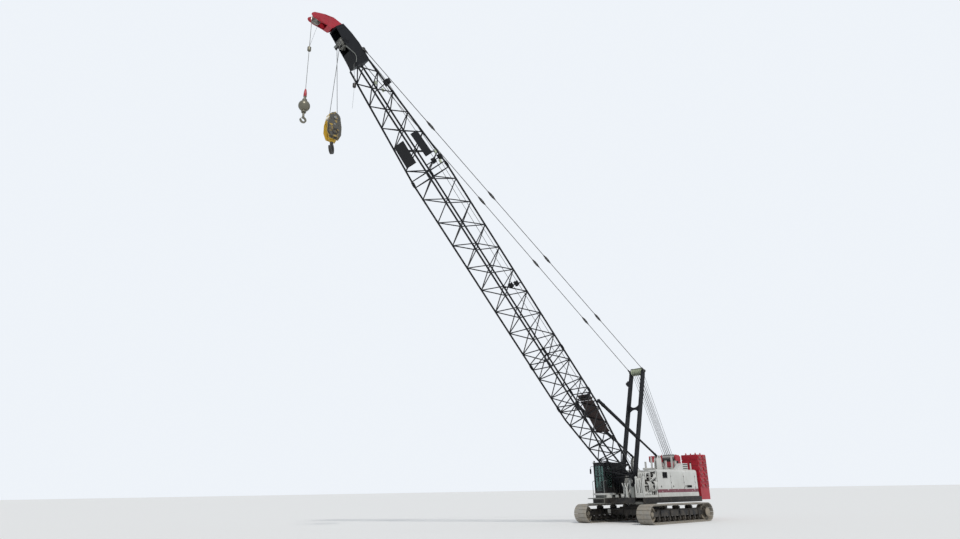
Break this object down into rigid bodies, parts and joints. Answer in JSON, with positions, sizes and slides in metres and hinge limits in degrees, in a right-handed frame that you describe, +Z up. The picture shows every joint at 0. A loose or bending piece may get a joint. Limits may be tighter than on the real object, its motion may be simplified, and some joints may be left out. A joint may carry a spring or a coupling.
{
  "type": "lattice boom crawler crane",
  "caption": "Crawler crane with a lattice boom, live mast, machinery houses, cab, stacked counterweights, hook block and ball.",
  "frame": {"origin": "on the ground under the swing centre", "axes": "+X the way the boom points, +Y to the crane's left, +Z up"},
  "size_m": [28.8827, 5.429, 24.5816],
  "materials": {
    "black_paint": "black gloss enamel, weathered",
    "white_paint": "off-white enamel, dusty",
    "red_paint": "dark red enamel, chipped edges",
    "yellow_paint": "yellow enamel, worn",
    "track_steel": "bare cast steel under dry dust",
    "dark_steel": "greasy dark steel",
    "bare_steel": "worn bright steel",
    "rope_steel": "greased wire rope",
    "grating": "brown-painted expanded metal",
    "platform_grey": "grey tread plate",
    "tinted_glass": "green-tinted safety glass",
    "seat_cloth": "dark cloth"
  },
  "bodies": {
    "lower": {"carbody": "black_paint", "crawler_frames": "black_paint", "track_left": "track_steel", "track_right": "track_steel", "track_rollers": "dark_steel", "idler_wheels": "dark_steel", "drive_wheels": "dark_steel", "swing_ring": "bare_steel"},
    "upper": {"deck": "black_paint", "deck_rails": "black_paint", "boom_brackets": "black_paint", "house_left": "white_paint", "house_right": "white_paint", "house_grilles": "black_paint", "engine": "dark_steel", "pump_rack": "white_paint", "valve_blocks": "dark_steel", "oil_tank": "platform_grey", "drum_frame": "black_paint", "gantry": "white_paint", "backstop_brackets": "white_paint", "bail_sheaves": "bare_steel", "counterweight_tray": "red_paint", "counterweight_towers": "red_paint", "cab_platform": "platform_grey", "cab_base": "white_paint", "cab_shell": "black_paint", "cab_glass": "tinted_glass", "cab_seat": "seat_cloth"},
    "cab_door": {"cab_door": "black_paint", "cab_door_glass": "tinted_glass"},
    "front_drum": {"front_drum": "bare_steel"},
    "rear_drum": {"rear_drum": "bare_steel"},
    "boom_hoist_drum": {"boom_hoist_drum": "red_paint"},
    "mast": {"mast_frame": "black_paint"},
    "mast_sheaves": {"mast_sheaves": "bare_steel"},
    "backstop_rods": {"backstop_rods": "black_paint"},
    "backstop_tubes": {"backstop_tubes": "black_paint"},
    "boom": {"boom_base": "black_paint", "boom_insert_short": "black_paint", "boom_insert_long": "black_paint", "boom_top": "black_paint", "boom_head": "black_paint", "tip_extension": "red_paint", "pendants": "rope_steel", "boom_walkway": "grating", "boom_signs": "black_paint"},
    "head_sheaves": {"head_sheaves": "bare_steel"},
    "tip_sheave": {"tip_sheave": "bare_steel"},
    "main_block": {"main_falls": "rope_steel", "block_body": "yellow_paint", "block_sheaves": "bare_steel", "main_hook": "dark_steel"},
    "ball": {"ball_line": "rope_steel", "hook_ball": "dark_steel"}
  },
  "joints": [
    {"name": "swing", "type": "hinge", "parent": "lower", "child": "upper", "pos_m": [0, 0, 1.14], "axis": [0, 0, 1], "continuous": true},
    {"name": "boom_luff", "type": "hinge", "parent": "upper", "child": "boom", "pos_m": [1.3, 0, 2.104], "axis": [0, -1, 0], "range_deg": [-31.77, 33.23]},
    {"name": "mast_luff", "type": "hinge", "parent": "upper", "child": "mast", "pos_m": [1.3, 0, 2.104], "axis": [0, -1, 0], "range_deg": [-31.87, 33.33]},
    {"name": "backstop_swing", "type": "hinge", "parent": "upper", "child": "backstop_rods", "pos_m": [-0.73, 0, 3.71], "axis": [0, -1, 0], "range_deg": [-27.55, 28.8]},
    {"name": "backstop_slide", "type": "slide", "parent": "backstop_rods", "child": "backstop_tubes", "axis": [0.8682, 0, 0.4962], "range_m": [-1.38, 1.32]},
    {"name": "cab_door_slide", "type": "slide", "parent": "upper", "child": "cab_door", "axis": [-1, 0, 0], "range_m": [0, 0.7]},
    {"name": "front_drum_spin", "type": "hinge", "parent": "upper", "child": "front_drum", "pos_m": [0.25, 0, 1.9], "axis": [0, 1, 0], "continuous": true},
    {"name": "rear_drum_spin", "type": "hinge", "parent": "upper", "child": "rear_drum", "pos_m": [-0.9, 0, 1.9], "axis": [0, 1, 0], "continuous": true},
    {"name": "boom_hoist_drum_spin", "type": "hinge", "parent": "upper", "child": "boom_hoist_drum", "pos_m": [-2.68, 0, 3.7], "axis": [0, 1, 0], "continuous": true},
    {"name": "mast_sheaves_spin", "type": "hinge", "parent": "mast", "child": "mast_sheaves", "pos_m": [-0.71053, 0, 9.06965], "axis": [0, 1, 0], "continuous": true},
    {"name": "head_sheaves_spin", "type": "hinge", "parent": "boom", "child": "head_sheaves", "pos_m": [21.69775, 0, 23.55442], "axis": [0, 1, 0], "continuous": true},
    {"name": "tip_sheave_spin", "type": "hinge", "parent": "boom", "child": "tip_sheave", "pos_m": [23.26837, 0, 24.11586], "axis": [0, 1, 0], "continuous": true},
    {"name": "main_block_hang", "type": "hinge", "parent": "boom", "child": "main_block", "pos_m": [21.69775, 0, 23.55442], "axis": [0, -1, 0], "range_deg": [-33.33, 31.87]},
    {"name": "ball_hang", "type": "hinge", "parent": "boom", "child": "ball", "pos_m": [23.26837, 0, 24.11586], "axis": [0, -1, 0], "range_deg": [-33.33, 31.87]}
  ],
  "couplings": [
    {"joint": "mast_luff", "follows": "boom_luff", "ratio": 1},
    {"joint": "backstop_swing", "follows": "boom_luff", "ratio": 0.86075},
    {"joint": "backstop_slide", "follows": "boom_luff", "m_per_rad": -2.3668},
    {"joint": "main_block_hang", "follows": "boom_luff", "ratio": -1},
    {"joint": "ball_hang", "follows": "boom_luff", "ratio": -1}
  ]
}
